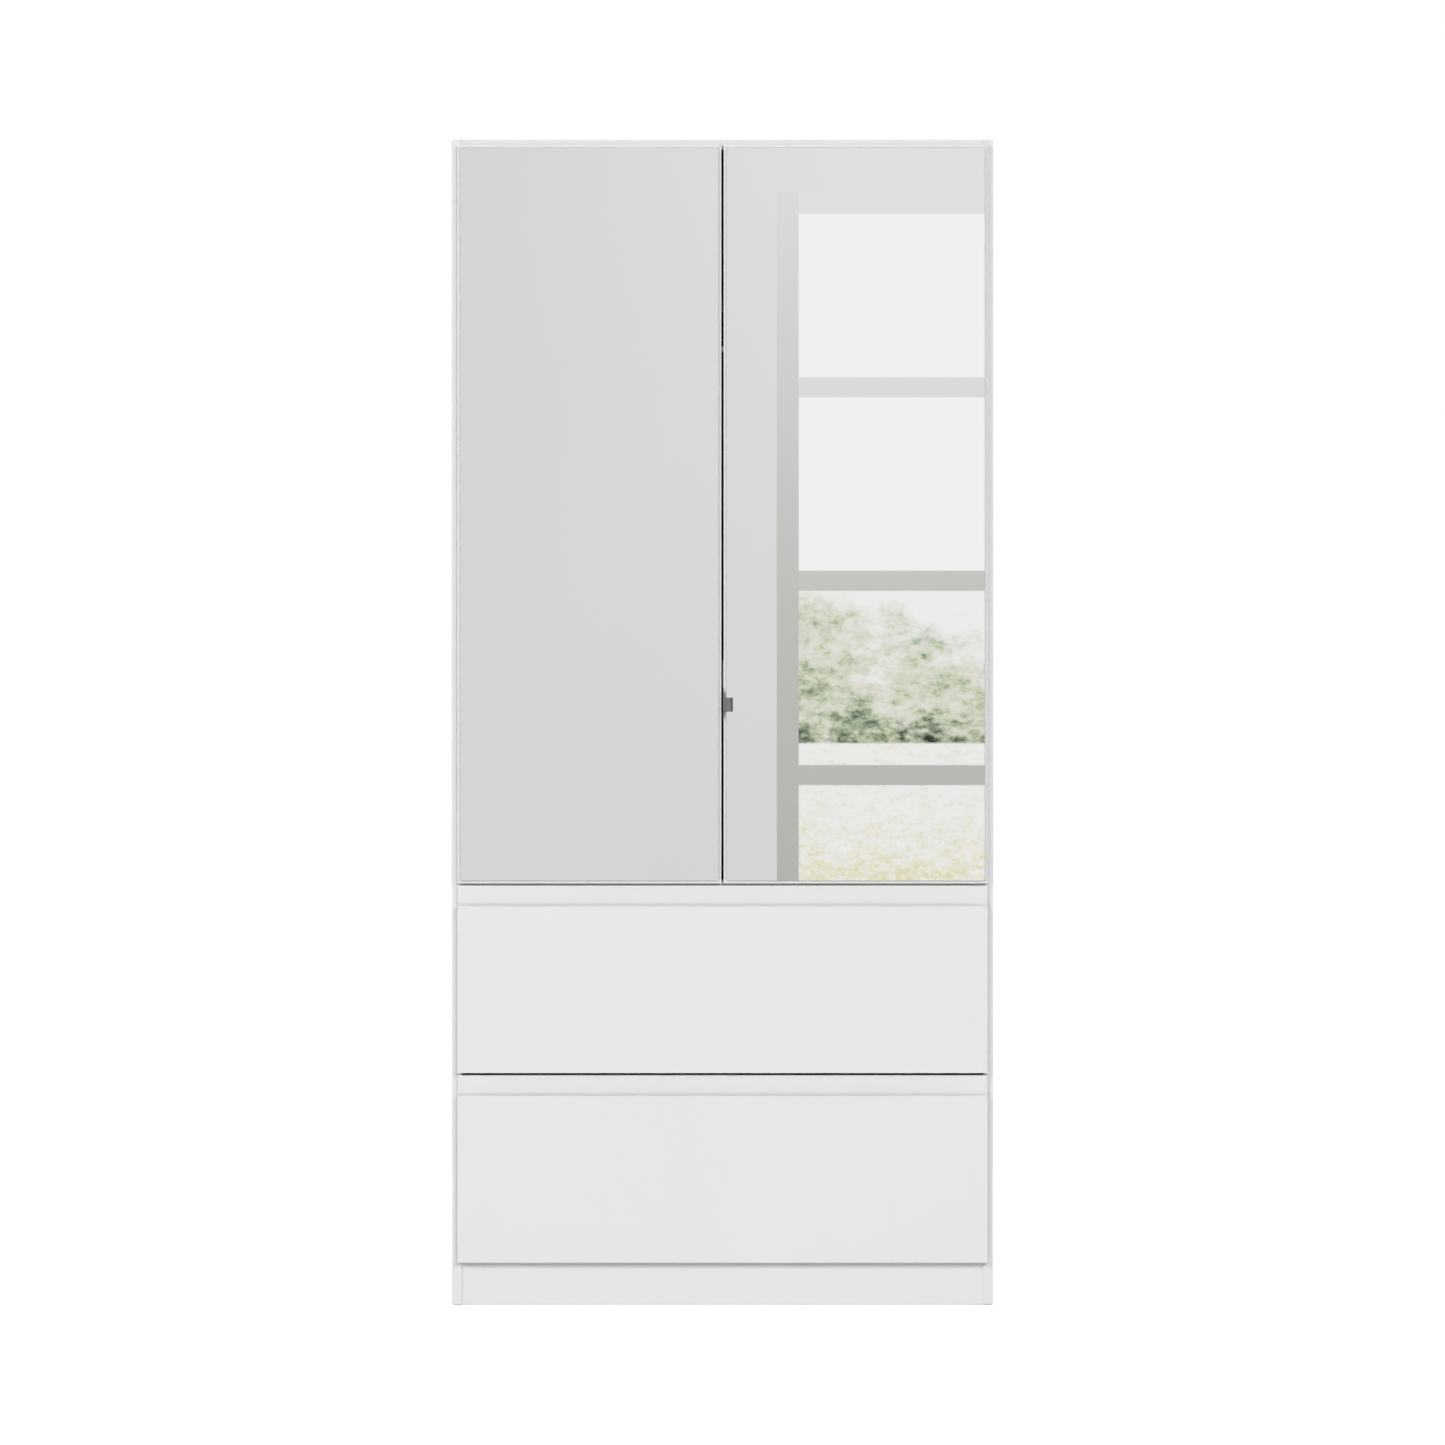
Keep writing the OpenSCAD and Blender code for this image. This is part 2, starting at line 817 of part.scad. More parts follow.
// The left door's board, with its hinge bores
module left_door_board() {
    difference() {
        translate([-front_x, y_board_face, door_z]) cube([door_w, board_t, door_h]);
        left_hinges() {
            translate([cup_u, edge_gap - over, 0])
                rotate([-90, 0, 0]) cylinder(r = cup_bore_r, h = cup_bore_depth + over);
            cup_screw_places() screw_hole(cup_screw_d, cup_screw_l);
        }
    }
}

module left_mirror() {
    translate([-front_x + mirror_inset, y_face, door_z + mirror_inset])
        cube([door_w - 2 * mirror_inset, mirror_t, door_h - 2 * mirror_inset]);
}

module left_door_panel() {
    color(white) left_door_board();
}

module right_door_panel() {
    color(white) difference() {
        mirror([1, 0, 0]) left_door_board();
        handle_screw_places() screw_hole(handle_screw_d, handle_screw_l);
    }
}

module left_door_mirror() {
    color(mirror_grey) left_mirror();
}

module right_door_mirror() {
    color(mirror_grey) mirror([1, 0, 0]) left_mirror();
}

// The soft strip on the right door's meeting edge
module edge_buffer() {
    color(plastic_grey)
        translate([front_gap / 2 - buffer_t, y_board_face + buffer_setback, buffer_z])
            cube([buffer_t, board_t - 2 * buffer_setback, buffer_h]);
}

// Points on an arc, its angles measured from +Y towards +X
function arc(centre, r, from, to) = [for (k = [0 : bend_steps])
    let (angle = from + (to - from) * k / bend_steps) centre + r * [sin(angle), cos(angle)]];

// The bent plate that wraps the right door's meeting edge
module door_handle() {
    y_front = y_face - handle_t;
    y_rear = y_door_back + handle_t;
    wrap_at = [handle_x + wrap_r, y_front + wrap_r];
    wrap_end_x = handle_x + handle_t + spine_sagitta;
    spine_r = (spine_h * spine_h / 4 + spine_sagitta * spine_sagitta) / (2 * spine_sagitta);
    lip_at = [tab_end_x, y_front - lip_bend_r];
    lip_back_r = lip_bend_r + handle_t;
    lip_run = (handle_out - lip_back_r + lip_bend_r * cos(lip_angle)) / sin(lip_angle);
    lip_end = lip_at + lip_run * [cos(lip_angle), -sin(lip_angle)];
    lip_across = [sin(lip_angle), cos(lip_angle)];
    color(steel_grey) difference() {
        union() {
            // Plate on the door's edge, bent round onto the mirror, with a bow-shaped end there
            intersection() {
                translate([0, 0, handle_z - spine_h / 2]) linear_extrude(height = spine_h)
                    polygon(concat(
                        [[handle_x, y_rear]],
                        arc(wrap_at, wrap_r, -90, -180),
                        [[wrap_end_x, y_front], [wrap_end_x, y_face]],
                        arc(wrap_at, wrap_r - handle_t, -180, -90),
                        [[handle_x + handle_t, y_rear]]));
                translate([wrap_end_x - spine_r, y_rear + over, handle_z]) rotate([90, 0, 0])
                    cylinder(r = spine_r, h = y_rear - y_front + 2 * over, $fn = 96);
            }
            // Tab on the mirror, then its bend and its lip
            translate([0, 0, handle_z - tab_h / 2]) linear_extrude(height = tab_h)
                polygon(concat(
                    [[wrap_at[0], y_front]],
                    arc(lip_at, lip_bend_r, 0, lip_angle),
                    [lip_end + lip_bend_r * lip_across, lip_end + lip_back_r * lip_across],
                    arc(lip_at, lip_back_r, lip_angle, 0),
                    [[wrap_at[0], y_face]]));
            // Tab on the door's back
            translate([handle_x, y_door_back, handle_z - rear_tab_h / 2])
                cube([rear_tab_w, handle_t, rear_tab_h]);
        }
        handle_screw_places() screw_hole(handle_screw_d, handle_screw_l);
    }
}

module handle_screws() {
    color(steel_grey) handle_screw_places()
        screw(handle_screw_d, handle_screw_l, handle_screw_head);
}

// ---------- Drawers, each described by the height of its front's lower edge ----------

module drawer_front(z) {
    lip_z = z + drawer_front_h - pull_h;
    groove_r = groove_w / 2;
    box_z = z + box_lift;
    color(white) difference() {
        translate([-front_x, 0, 0]) rotate([90, 0, 90]) linear_extrude(height = 2 * front_x)
            difference() {
                translate([y_face, z]) square([front_t, drawer_front_h]);
                translate([y_face - over, lip_z]) square([lip_t + groove_w + over, pull_h + over]);
                translate([y_face + lip_t, lip_z - groove_depth + groove_r])
                    square([groove_w, groove_depth]);
                translate([y_face + lip_t + groove_r, lip_z - groove_depth + groove_r])
                    circle(r = groove_r);
            }
        // Groove for the drawer bottom
        translate([-box_in_x - groove_in, y_door_back - groove_in, box_z + bottom_lift])
            cube([2 * (box_in_x + groove_in), groove_in + over, hardboard_t + groove_clear]);
        each_side() left_box_cams(z) translate([0, -cam_in, 0])
            rotate([90, 0, 0]) translate([0, 0, -over])
                cylinder(d = box_bolt_d + 2 * fit_gap, h = box_bolt_in_front + over + fit_gap);
    }
}

// Centres of the cams in the left box side, at mid-thickness
module left_box_cams(z) {
    for (dz = box_cam_z)
        translate([-box_side_x + box_side_t / 2, y_door_back + cam_in, z + box_lift + dz])
            children();
}

module left_box_screws(z) {
    for (dz = box_screw_z)
        translate([-box_side_x, y_door_back + box_l - box_side_t / 2, z + box_lift + dz])
            rotate([0, -90, 0]) children();
}

module left_box_runner_screws(z) {
    for (y = runner_screw_y)
        translate([-box_side_x, y, z + box_lift + runner_rise]) rotate([0, -90, 0]) children();
}

module left_box_side(z) {
    box_z = z + box_lift;
    difference() {
        translate([-box_side_x, y_door_back, box_z]) cube([box_side_t, box_l, box_h]);
        translate([-box_in_x - groove_in, y_door_back - over, box_z + bottom_lift])
            cube([groove_in + over, box_l + 2 * over, hardboard_t + groove_clear]);
        left_box_cams(z) {
            translate([box_side_t / 2 - box_cam_h, 0, 0])
                facing_in() cylinder(d = cam_d + 2 * fit_gap, h = box_cam_h + over);
            rotate([90, 0, 0]) cylinder(d = box_bolt_d + 2 * fit_gap, h = cam_in + over);
        }
        left_box_screws(z) screw_hole(box_screw_d, box_screw_l);
        left_box_runner_screws(z) screw_hole(box_screw_d, box_runner_screw_l);
    }
}

module drawer_left_side(z) {
    color(white) left_box_side(z);
}

module drawer_right_side(z) {
    color(white) mirror([1, 0, 0]) left_box_side(z);
}

module drawer_back(z) {
    back_z = z + box_lift + bottom_lift + hardboard_t + groove_clear;
    color(white) difference() {
        translate([-box_in_x, y_door_back + box_l - box_side_t, back_z])
            cube([2 * box_in_x, box_side_t, z + box_lift + box_h - back_z]);
        each_side() left_box_screws(z) screw_hole(box_screw_d, box_screw_l);
    }
}

module drawer_bottom(z) {
    reach = groove_in - groove_clear;
    color(white)
        translate([-box_in_x - reach, y_door_back - reach,
                   z + box_lift + bottom_lift + groove_clear / 2])
            cube([2 * (box_in_x + reach), box_l + reach - bottom_stop, hardboard_t]);
}

module drawer_fasteners(z) {
    slot_w = box_bolt_d + 2 * slot_gap;
    color(steel_grey) each_side() {
        left_box_cams(z) {
            // Cam with the slot that takes the bolt
            difference() {
                translate([box_side_t / 2 - box_cam_h, 0, 0])
                    facing_in() cylinder(d = cam_d, h = box_cam_h);
                translate([-slot_w / 2, -cam_d, -slot_w / 2])
                    cube([slot_w, cam_d + box_cam_slot_end, slot_w]);
                translate([box_side_t / 2, 0, 0])
                    facing_in() cross_recess(cross_l, cross_w, cross_depth);
            }
            rotate([90, 0, 0]) translate([0, 0, -box_bolt_in_cam])
                cylinder(d = box_bolt_d, h = cam_in + box_bolt_in_cam + box_bolt_in_front);
        }
        left_box_screws(z) screw(box_screw_d, box_screw_l, box_screw_head);
        left_box_runner_screws(z) translate([0, 0, runner_sheet])
            screw(box_screw_d, box_runner_screw_l + runner_sheet, box_screw_head);
    }
}

// ---------- Drawer runners ----------

// Extrudes a child cross-section (distance from the left side panel, height) along Y
module left_runner(z, y, l) {
    translate([-inner_x, y + l, z + box_lift + runner_rise])
        rotate([90, 0, 0]) linear_extrude(height = l) children();
}

// Upper and lower copies of a flange whose inner and outer heights are given
module flange_pair(s0, s1, h0, h1) {
    translate([s0, h0]) square([s1 - s0, h1 - h0]);
    translate([s0, -h1]) square([s1 - s0, h1 - h0]);
}

module cabinet_runners(z) {
    color(steel_grey) difference() {
        each_side() left_runner(z, runner_front, box_l) {
            translate([0, -outer_half_h]) square([runner_sheet, 2 * outer_half_h]);
            flange_pair(0, outer_reach, outer_half_h - runner_sheet, outer_half_h);
        }
        each_side() left_runner_screws()
            translate([0, 0, -over])
                cylinder(d = runner_screw_d + 2 * fit_gap, h = runner_sheet + 2 * over);
    }
}

module middle_runners(z) {
    color(steel_grey) each_side() {
        left_runner(z, runner_front, middle_runner_l) {
            translate([middle_web_s, -middle_half_h]) square([runner_sheet, 2 * middle_half_h]);
            flange_pair(middle_flange_s[0], middle_flange_s[1], middle_half_h - runner_sheet,
                        middle_half_h);
        }
        // Ball cages, placed to stay between their two members when the runner is drawn out
        left_runner(z, runner_front + middle_runner_l - cage_l - cage_start, cage_l)
            flange_pair(outer_cage_s[0], outer_cage_s[1], middle_half_h + cage_seat,
                        outer_half_h - runner_sheet - cage_gap);
        left_runner(z, runner_front + cage_start, cage_l)
            flange_pair(inner_cage_s[0], inner_cage_s[1], drawer_half_h + cage_gap,
                        middle_half_h - runner_sheet - cage_seat);
    }
}

module drawer_runners(z) {
    color(steel_grey) difference() {
        each_side() left_runner(z, runner_front, box_l) {
            translate([runner_w - runner_sheet, -drawer_half_h])
                square([runner_sheet, 2 * drawer_half_h]);
            flange_pair(drawer_flange_s, runner_w, drawer_half_h - runner_sheet, drawer_half_h);
        }
        each_side() left_box_runner_screws(z)
            translate([0, 0, -over])
                cylinder(d = box_screw_d + 2 * fit_gap, h = runner_sheet + 2 * over);
    }
}

left_side_panel();
right_side_panel();
top_panel();
middle_panel();
bottom_panel();
kick_plate();
rear_plinth_rail();
upper_back_panel();
lower_back_panel();
back_panel_nails();
shelf();
shelf_pins();
hanging_rod();
rod_sockets();
left_hinge_arms();
right_hinge_arms();
left_mounting_plates();
right_mounting_plates();
cabinet_runners(upper_front_z);  // upper_cabinet_runners
cabinet_runners(lower_front_z);  // lower_cabinet_runners
cabinet_screws();
cam_locks();
cam_bolts();
wooden_dowels();
wall_brackets();
wall_bracket_screws();
floor_glides();
door_bumpers();
left_door_panel();
left_door_mirror();
left_hinge_cups();
left_cup_screws();
right_door_panel();
right_door_mirror();
right_hinge_cups();
right_cup_screws();
edge_buffer();
door_handle();
handle_screws();
left_hinge_links();
right_hinge_links();
drawer_front(upper_front_z);  // upper_drawer_front
drawer_left_side(upper_front_z);  // upper_drawer_left_side
drawer_right_side(upper_front_z);  // upper_drawer_right_side
drawer_back(upper_front_z);  // upper_drawer_back
drawer_bottom(upper_front_z);  // upper_drawer_bottom
drawer_runners(upper_front_z);  // upper_drawer_runners
drawer_fasteners(upper_front_z);  // upper_drawer_fasteners
middle_runners(upper_front_z);  // upper_middle_runners
drawer_front(lower_front_z);  // lower_drawer_front
drawer_left_side(lower_front_z);  // lower_drawer_left_side
drawer_right_side(lower_front_z);  // lower_drawer_right_side
drawer_back(lower_front_z);  // lower_drawer_back
drawer_bottom(lower_front_z);  // lower_drawer_bottom
drawer_runners(lower_front_z);  // lower_drawer_runners
drawer_fasteners(lower_front_z);  // lower_drawer_fasteners
middle_runners(lower_front_z);  // lower_middle_runners
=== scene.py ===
"""Looks of a white wardrobe with mirrored doors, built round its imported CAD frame."""
import json
import math

import bmesh
import bpy
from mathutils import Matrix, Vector

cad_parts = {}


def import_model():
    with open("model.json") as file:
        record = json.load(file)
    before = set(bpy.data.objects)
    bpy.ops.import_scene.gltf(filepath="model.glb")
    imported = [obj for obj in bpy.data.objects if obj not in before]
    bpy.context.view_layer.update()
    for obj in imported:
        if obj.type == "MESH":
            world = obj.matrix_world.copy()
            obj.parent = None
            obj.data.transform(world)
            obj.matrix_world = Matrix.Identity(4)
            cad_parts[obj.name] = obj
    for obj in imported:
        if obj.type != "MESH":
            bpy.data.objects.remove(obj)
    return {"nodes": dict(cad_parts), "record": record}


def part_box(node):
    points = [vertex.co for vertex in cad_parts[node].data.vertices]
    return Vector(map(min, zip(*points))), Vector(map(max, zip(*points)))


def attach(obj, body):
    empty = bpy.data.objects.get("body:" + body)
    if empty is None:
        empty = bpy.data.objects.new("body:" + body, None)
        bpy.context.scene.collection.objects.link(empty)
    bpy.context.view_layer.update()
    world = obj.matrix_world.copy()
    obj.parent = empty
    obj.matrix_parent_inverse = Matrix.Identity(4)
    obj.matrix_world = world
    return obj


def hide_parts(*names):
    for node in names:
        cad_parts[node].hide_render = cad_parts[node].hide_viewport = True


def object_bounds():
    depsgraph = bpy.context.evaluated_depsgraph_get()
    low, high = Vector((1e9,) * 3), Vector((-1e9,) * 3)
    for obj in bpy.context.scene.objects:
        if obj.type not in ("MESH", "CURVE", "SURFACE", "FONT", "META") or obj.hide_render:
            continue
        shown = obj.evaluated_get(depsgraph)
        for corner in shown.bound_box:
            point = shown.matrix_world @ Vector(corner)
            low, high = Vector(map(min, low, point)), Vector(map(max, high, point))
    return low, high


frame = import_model()
CAD_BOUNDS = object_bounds()
MM = 0.001

SLOT_OF = {row["node"]: row["material_slot"] for row in frame["record"]["subparts"]}
BODY_OF = {node: body for body, nodes in frame["record"]["behaviour"]["bodies"].items() for node in nodes}


# ---------- Node helpers ----------

class Nodes:
    """A material's node tree, with short calls for the nodes that the looks use."""

    def __init__(self, name):
        self.material = bpy.data.materials.new(name)
        self.material.use_nodes = True
        self.tree = self.material.node_tree
        self.shader = self.tree.nodes["Principled BSDF"]
        self.place = self.add("ShaderNodeTexCoord").outputs["Object"]

    def add(self, kind, **settings):
        node = self.tree.nodes.new(kind)
        for key, value in settings.items():
            setattr(node, key, value)
        return node

    def link(self, source, target):
        self.tree.links.new(source, target)

    def stretched(self, scale):
        """The object's own coordinates, multiplied along each axis."""
        mapping = self.add("ShaderNodeMapping")
        mapping.inputs["Scale"].default_value = scale
        self.link(self.place, mapping.inputs["Vector"])
        return mapping.outputs["Vector"]

    def noise(self, scale, detail=3.0, roughness=0.5, vector=None):
        node = self.add("ShaderNodeTexNoise")
        node.inputs["Scale"].default_value = scale
        node.inputs["Detail"].default_value = detail
        node.inputs["Roughness"].default_value = roughness
        self.link(vector or self.place, node.inputs["Vector"])
        return node.outputs["Fac"]

    def cells(self, scale, vector=None):
        node = self.add("ShaderNodeTexVoronoi")
        node.inputs["Scale"].default_value = scale
        self.link(vector or self.place, node.inputs["Vector"])
        return node

    def spread(self, value, low, high, from_low=0.3, from_high=0.7):
        """Maps a pattern's middle range onto low..high."""
        node = self.add("ShaderNodeMapRange")
        node.inputs["From Min"].default_value = from_low
        node.inputs["From Max"].default_value = from_high
        node.inputs["To Min"].default_value = low
        node.inputs["To Max"].default_value = high
        self.link(value, node.inputs["Value"])
        return node.outputs["Result"]

    def scaled(self, value, factor, plus=0.0):
        node = self.add("ShaderNodeMath", operation="MULTIPLY_ADD")
        node.inputs[1].default_value = factor
        if isinstance(plus, float):
            node.inputs[2].default_value = plus
        else:
            self.link(plus, node.inputs[2])
        self.link(value, node.inputs[0])
        return node.outputs[0]

    def mean(self, a, b):
        """The mean of two patterns."""
        return self.scaled(a, 0.5, self.scaled(b, 0.5))

    def two_tone(self, value, dark, light):
        node = self.add("ShaderNodeMix", data_type="RGBA")
        node.inputs["A"].default_value = (*dark, 1)
        node.inputs["B"].default_value = (*light, 1)
        self.link(value, node.inputs["Factor"])
        return node.outputs["Result"]

    def mixed(self, share, a, b):
        """From a to b, each a plain colour or another node's."""
        node = self.add("ShaderNodeMix", data_type="RGBA")
        for socket, value in (("A", a), ("B", b)):
            if isinstance(value, tuple):
                node.inputs[socket].default_value = (*value, 1)
            else:
                self.link(value, node.inputs[socket])
        self.link(share, node.inputs["Factor"])
        return node.outputs["Result"]

    def colour(self, source):
        self.link(source, self.shader.inputs["Base Color"])

    def rough(self, source):
        self.link(source, self.shader.inputs["Roughness"])

    def bump(self, height, depth, after=None):
        """Relief of the given depth in metres, on top of an earlier bump."""
        node = self.add("ShaderNodeBump")
        node.inputs["Distance"].default_value = depth
        self.link(height, node.inputs["Height"])
        if after is not None:
            self.link(after, node.inputs["Normal"])
        self.link(node.outputs["Normal"], self.shader.inputs["Normal"])
        return node.outputs["Normal"]


def near(colour, share):
    """The colour, made lighter or darker by a share."""
    return tuple(min(1.0, c * (1 + share)) for c in colour)


# ---------- Materials ----------

WHITE = (0.768, 0.768, 0.766)


def melamine(name, colour=WHITE, rough=(0.34, 0.46)):
    """White melamine foil: a fine pearl grain, with faint clouds and handling marks."""
    n = Nodes(name)
    clouds = n.noise(2.5, 4)
    speckle = n.noise(420, 2)
    n.colour(n.two_tone(n.spread(clouds, 0, 1), near(colour, -0.012), near(colour, 0.008)))
    n.rough(n.spread(n.noise(35, 5, 0.65), *rough))
    grain = n.bump(speckle, 0.00004)
    n.bump(n.noise(1500, 2), 0.00001, grain)
    n.shader.inputs["Specular IOR Level"].default_value = 0.42
    return n.material


def edge_band():
    """ABS strip on the boards' edges: a touch glossier, with fine lengthwise scraper lines."""
    n = Nodes("edge_band")
    lines = n.noise(90, 2, vector=n.stretched((1, 1, 40)))
    n.colour(n.two_tone(n.spread(lines, 0, 1), near(WHITE, -0.008), near(WHITE, 0.004)))
    n.rough(n.spread(n.noise(60, 4), 0.26, 0.4))
    n.bump(lines, 0.00001)
    return n.material


def chipboard():
    """Raw chipboard: pressed flakes of several browns."""
    n = Nodes("chipboard")
    flakes = n.cells(420)
    fine = n.noise(900, 3)
    ramp = n.add("ShaderNodeValToRGB")
    ramp.color_ramp.elements[0].color = (0.30, 0.19, 0.10, 1)
    ramp.color_ramp.elements[1].color = (0.66, 0.50, 0.33, 1)
    n.link(n.mean(flakes.outputs["Distance"], fine), ramp.inputs["Fac"])
    n.colour(ramp.outputs["Color"])
    n.rough(n.spread(fine, 0.75, 0.95))
    n.bump(flakes.outputs["Distance"], 0.0003)
    return n.material


def silvered_glass():
    """Mirror: clean silvering under float glass, with the faintest haze of cleaning wipes."""
    n = Nodes("silvered_glass")
    wipes = n.noise(3.5, 5, 0.6, n.stretched((1, 1, 0.45)))
    n.colour(n.two_tone(n.spread(wipes, 0, 1), (0.884, 0.886, 0.884), (0.896, 0.898, 0.896)))
    n.rough(n.spread(wipes, 0.004, 0.016))
    n.bump(n.noise(1.6, 1), 0.00001)
    n.shader.inputs["Metallic"].default_value = 1
    return n.material


def glass_edge():
    """Ground edge of the mirror glass, grey-green."""
    n = Nodes("glass_edge")
    grind = n.noise(700, 3, vector=n.stretched((1, 6, 1)))
    n.colour(n.two_tone(n.spread(grind, 0, 1), (0.44, 0.49, 0.47), (0.56, 0.61, 0.585)))
    n.rough(n.spread(grind, 0.16, 0.34))
    n.bump(grind, 0.00003)
    n.shader.inputs["Coat Weight"].default_value = 0.4
    return n.material


def backing_paint():
    """Grey paint on the mirror's back."""
    n = Nodes("mirror_backing_paint")
    n.colour(n.two_tone(n.spread(n.noise(40), 0, 1), (0.25, 0.26, 0.28), (0.31, 0.32, 0.34)))
    n.rough(n.spread(n.noise(300), 0.45, 0.6))
    return n.material


def metal(name, dark, light, rough, scale=120.0, brushing=(1, 1, 1), relief=0.00002):
    """Plated or brushed steel: the pattern is stretched along the brushing direction."""
    n = Nodes(name)
    strokes = n.noise(scale, 4, 0.6, n.stretched(brushing))
    n.colour(n.two_tone(n.spread(strokes, 0, 1), dark, light))
    n.rough(n.spread(n.noise(scale * 0.4, 3), *rough))
    n.bump(strokes, relief)
    n.shader.inputs["Metallic"].default_value = 1
    return n.material


def zinc():
    """Bright zinc plating, with its faint crystal patches."""
    n = Nodes("zinc_steel")
    patches = n.cells(260)
    share = n.spread(patches.outputs["Distance"], 0, 1, 0, 0.8)
    n.colour(n.two_tone(share, (0.5, 0.51, 0.52), (0.66, 0.67, 0.68)))
    n.rough(n.spread(n.noise(150, 3), 0.26, 0.42))
    n.bump(n.noise(700, 2), 0.00003)
    n.shader.inputs["Metallic"].default_value = 1
    return n.material


def plastic(name, colour, rough=(0.36, 0.5)):
    """Moulded plastic with a fine spark-eroded grain."""
    n = Nodes(name)
    n.colour(n.two_tone(n.spread(n.noise(30), 0, 1), near(colour, -0.03), near(colour, 0.02)))
    n.rough(n.spread(n.noise(200, 4), *rough))
    n.bump(n.noise(1400, 2), 0.00005)
    return n.material


def rubber(name, colour):
    """Dull rubber with a fine matt skin."""
    n = Nodes(name)
    n.colour(n.two_tone(n.spread(n.noise(80), 0, 1), near(colour, -0.08), near(colour, 0.06)))
    n.rough(n.spread(n.noise(400), 0.6, 0.85))
    n.bump(n.noise(1800, 3), 0.00006)
    return n.material


def painted_hardboard():
    """White foil on the hardboard's smooth face; the fibres print through it."""
    n = Nodes("painted_hardboard")
    fibres = n.noise(160, 5, 0.7)
    n.colour(n.two_tone(n.spread(n.noise(3, 4), 0, 1), near(WHITE, -0.03), near(WHITE, -0.01)))
    n.rough(n.spread(fibres, 0.5, 0.66))
    n.bump(fibres, 0.00008)
    return n.material


def raw_hardboard():
    """The hardboard's rough brown back, with the print of its pressing screen."""
    n = Nodes("raw_hardboard")
    clouds = n.noise(9, 6, 0.7)
    fibres = n.noise(450, 4, 0.7)
    share = n.spread(n.mean(clouds, fibres), 0, 1)
    n.colour(n.two_tone(share, (0.26, 0.155, 0.08), (0.46, 0.30, 0.17)))
    n.rough(n.spread(fibres, 0.78, 0.95))
    screen = n.add("ShaderNodeTexWave", bands_direction="DIAGONAL")
    screen.inputs["Scale"].default_value = 260
    screen.inputs["Distortion"].default_value = 2
    n.link(n.place, screen.inputs["Vector"])
    n.bump(screen.outputs["Fac"], 0.00012, n.bump(fibres, 0.0001))
    return n.material


def beech():
    """Beech dowel rod, with its grain along the dowel."""
    n = Nodes("beech")
    grain = n.noise(260, 4, 0.6, n.stretched((0.1, 1, 1)))
    n.colour(n.two_tone(n.spread(grain, 0, 1), (0.50, 0.33, 0.18), (0.68, 0.50, 0.31)))
    n.rough(n.spread(grain, 0.5, 0.7))
    n.bump(grain, 0.0001)
    return n.material


LOOKS = {
    "face": melamine("melamine"),
    "edge": edge_band(),
    "raw": chipboard(),
    "mirror": silvered_glass(),
    "glass_edge": glass_edge(),
    "backing": backing_paint(),
    "hardboard": painted_hardboard(),
    "hardboard_back": raw_hardboard(),
}
SLOT_LOOKS = {
    "white_board": LOOKS["face"],
    "white_hardboard": LOOKS["hardboard"],
    "mirror_glass": LOOKS["mirror"],
    "handle_steel": metal(
        "satin_nickel", (0.22, 0.22, 0.222), (0.3, 0.3, 0.302), (0.3, 0.42), 260, (1, 1, 0.06)
    ),
    "nickel_steel": metal("nickel_plate", (0.56, 0.55, 0.53), (0.66, 0.65, 0.62), (0.18, 0.3), 90),
    "runner_steel": metal(
        "rolled_steel", (0.5, 0.51, 0.52), (0.62, 0.63, 0.64), (0.28, 0.4), 140, (1, 0.05, 1)
    ),
    "zinc_steel": zinc(),
    "chrome_tube": metal(
        "chrome", (0.78, 0.79, 0.8), (0.82, 0.83, 0.84), (0.05, 0.11), 60, (0.1, 1, 1), 0.000005
    ),
    "white_plastic": plastic("white_plastic", (0.8, 0.8, 0.78)),
    "clear_rubber": plastic("clear_pad", (0.62, 0.62, 0.6), (0.2, 0.35)),
    "grey_rubber": rubber("grey_felt_rubber", (0.42, 0.42, 0.425)),
    "beech": beech(),
}


# ---------- Pieces made from the CAD solids ----------

X, Y, Z = 0, 1, 2
LOW, HIGH = 0, 1
WELD = 0.01 * MM
ON_FACE = 0.02 * MM


def copied(node, name):
    """A new piece with the CAD node's shape, welded, with its flat faces whole again."""
    mesh = frame["nodes"][node].data.copy()
    mesh.name = name
    mesh.materials.clear()
    bm = bmesh.new()
    bm.from_mesh(mesh)
    bmesh.ops.remove_doubles(bm, verts=bm.verts, dist=WELD)
    bmesh.ops.dissolve_limit(bm, angle_limit=math.radians(0.5), verts=bm.verts, edges=bm.edges)
    bm.to_mesh(mesh)
    bm.free()
    piece = bpy.data.objects.new(name, mesh)
    bpy.context.scene.collection.objects.link(piece)
    return piece


def stand_for(piece, node):
    """The piece takes the CAD node's place and body."""
    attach(piece, BODY_OF[node])
    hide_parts(node)
    return piece


def on_planes(point, low, high):
    """The axes on which a point lies in one of the box's faces."""
    return {
        (axis, side)
        for axis in range(3)
        for side, corner in ((0, low), (1, high))
        if abs(point[axis] - corner[axis]) < ON_FACE
    }


def round_box_edges(piece, radius, segments=3):
    """Rounds only the edges along the piece's own box, and leaves drilled holes sharp."""
    mesh = piece.data
    low = Vector(map(min, zip(*(v.co for v in mesh.vertices))))
    high = Vector(map(max, zip(*(v.co for v in mesh.vertices))))
    bm = bmesh.new()
    bm.from_mesh(mesh)
    edges = [
        e for e in bm.edges
        if len(on_planes(e.verts[0].co, low, high) & on_planes(e.verts[1].co, low, high)) >= 2
    ]
    bmesh.ops.bevel(
        bm, geom=edges, offset=radius, segments=segments, profile=0.5, affect="EDGES",
        clamp_overlap=True,
    )
    bm.to_mesh(mesh)
    bm.free()
    return low, high


def bake(piece):
    """Applies the piece's modifiers."""
    bpy.context.view_layer.update()
    seen = piece.evaluated_get(bpy.context.evaluated_depsgraph_get())
    baked = bpy.data.meshes.new_from_object(seen)
    piece.modifiers.clear()
    piece.data = baked


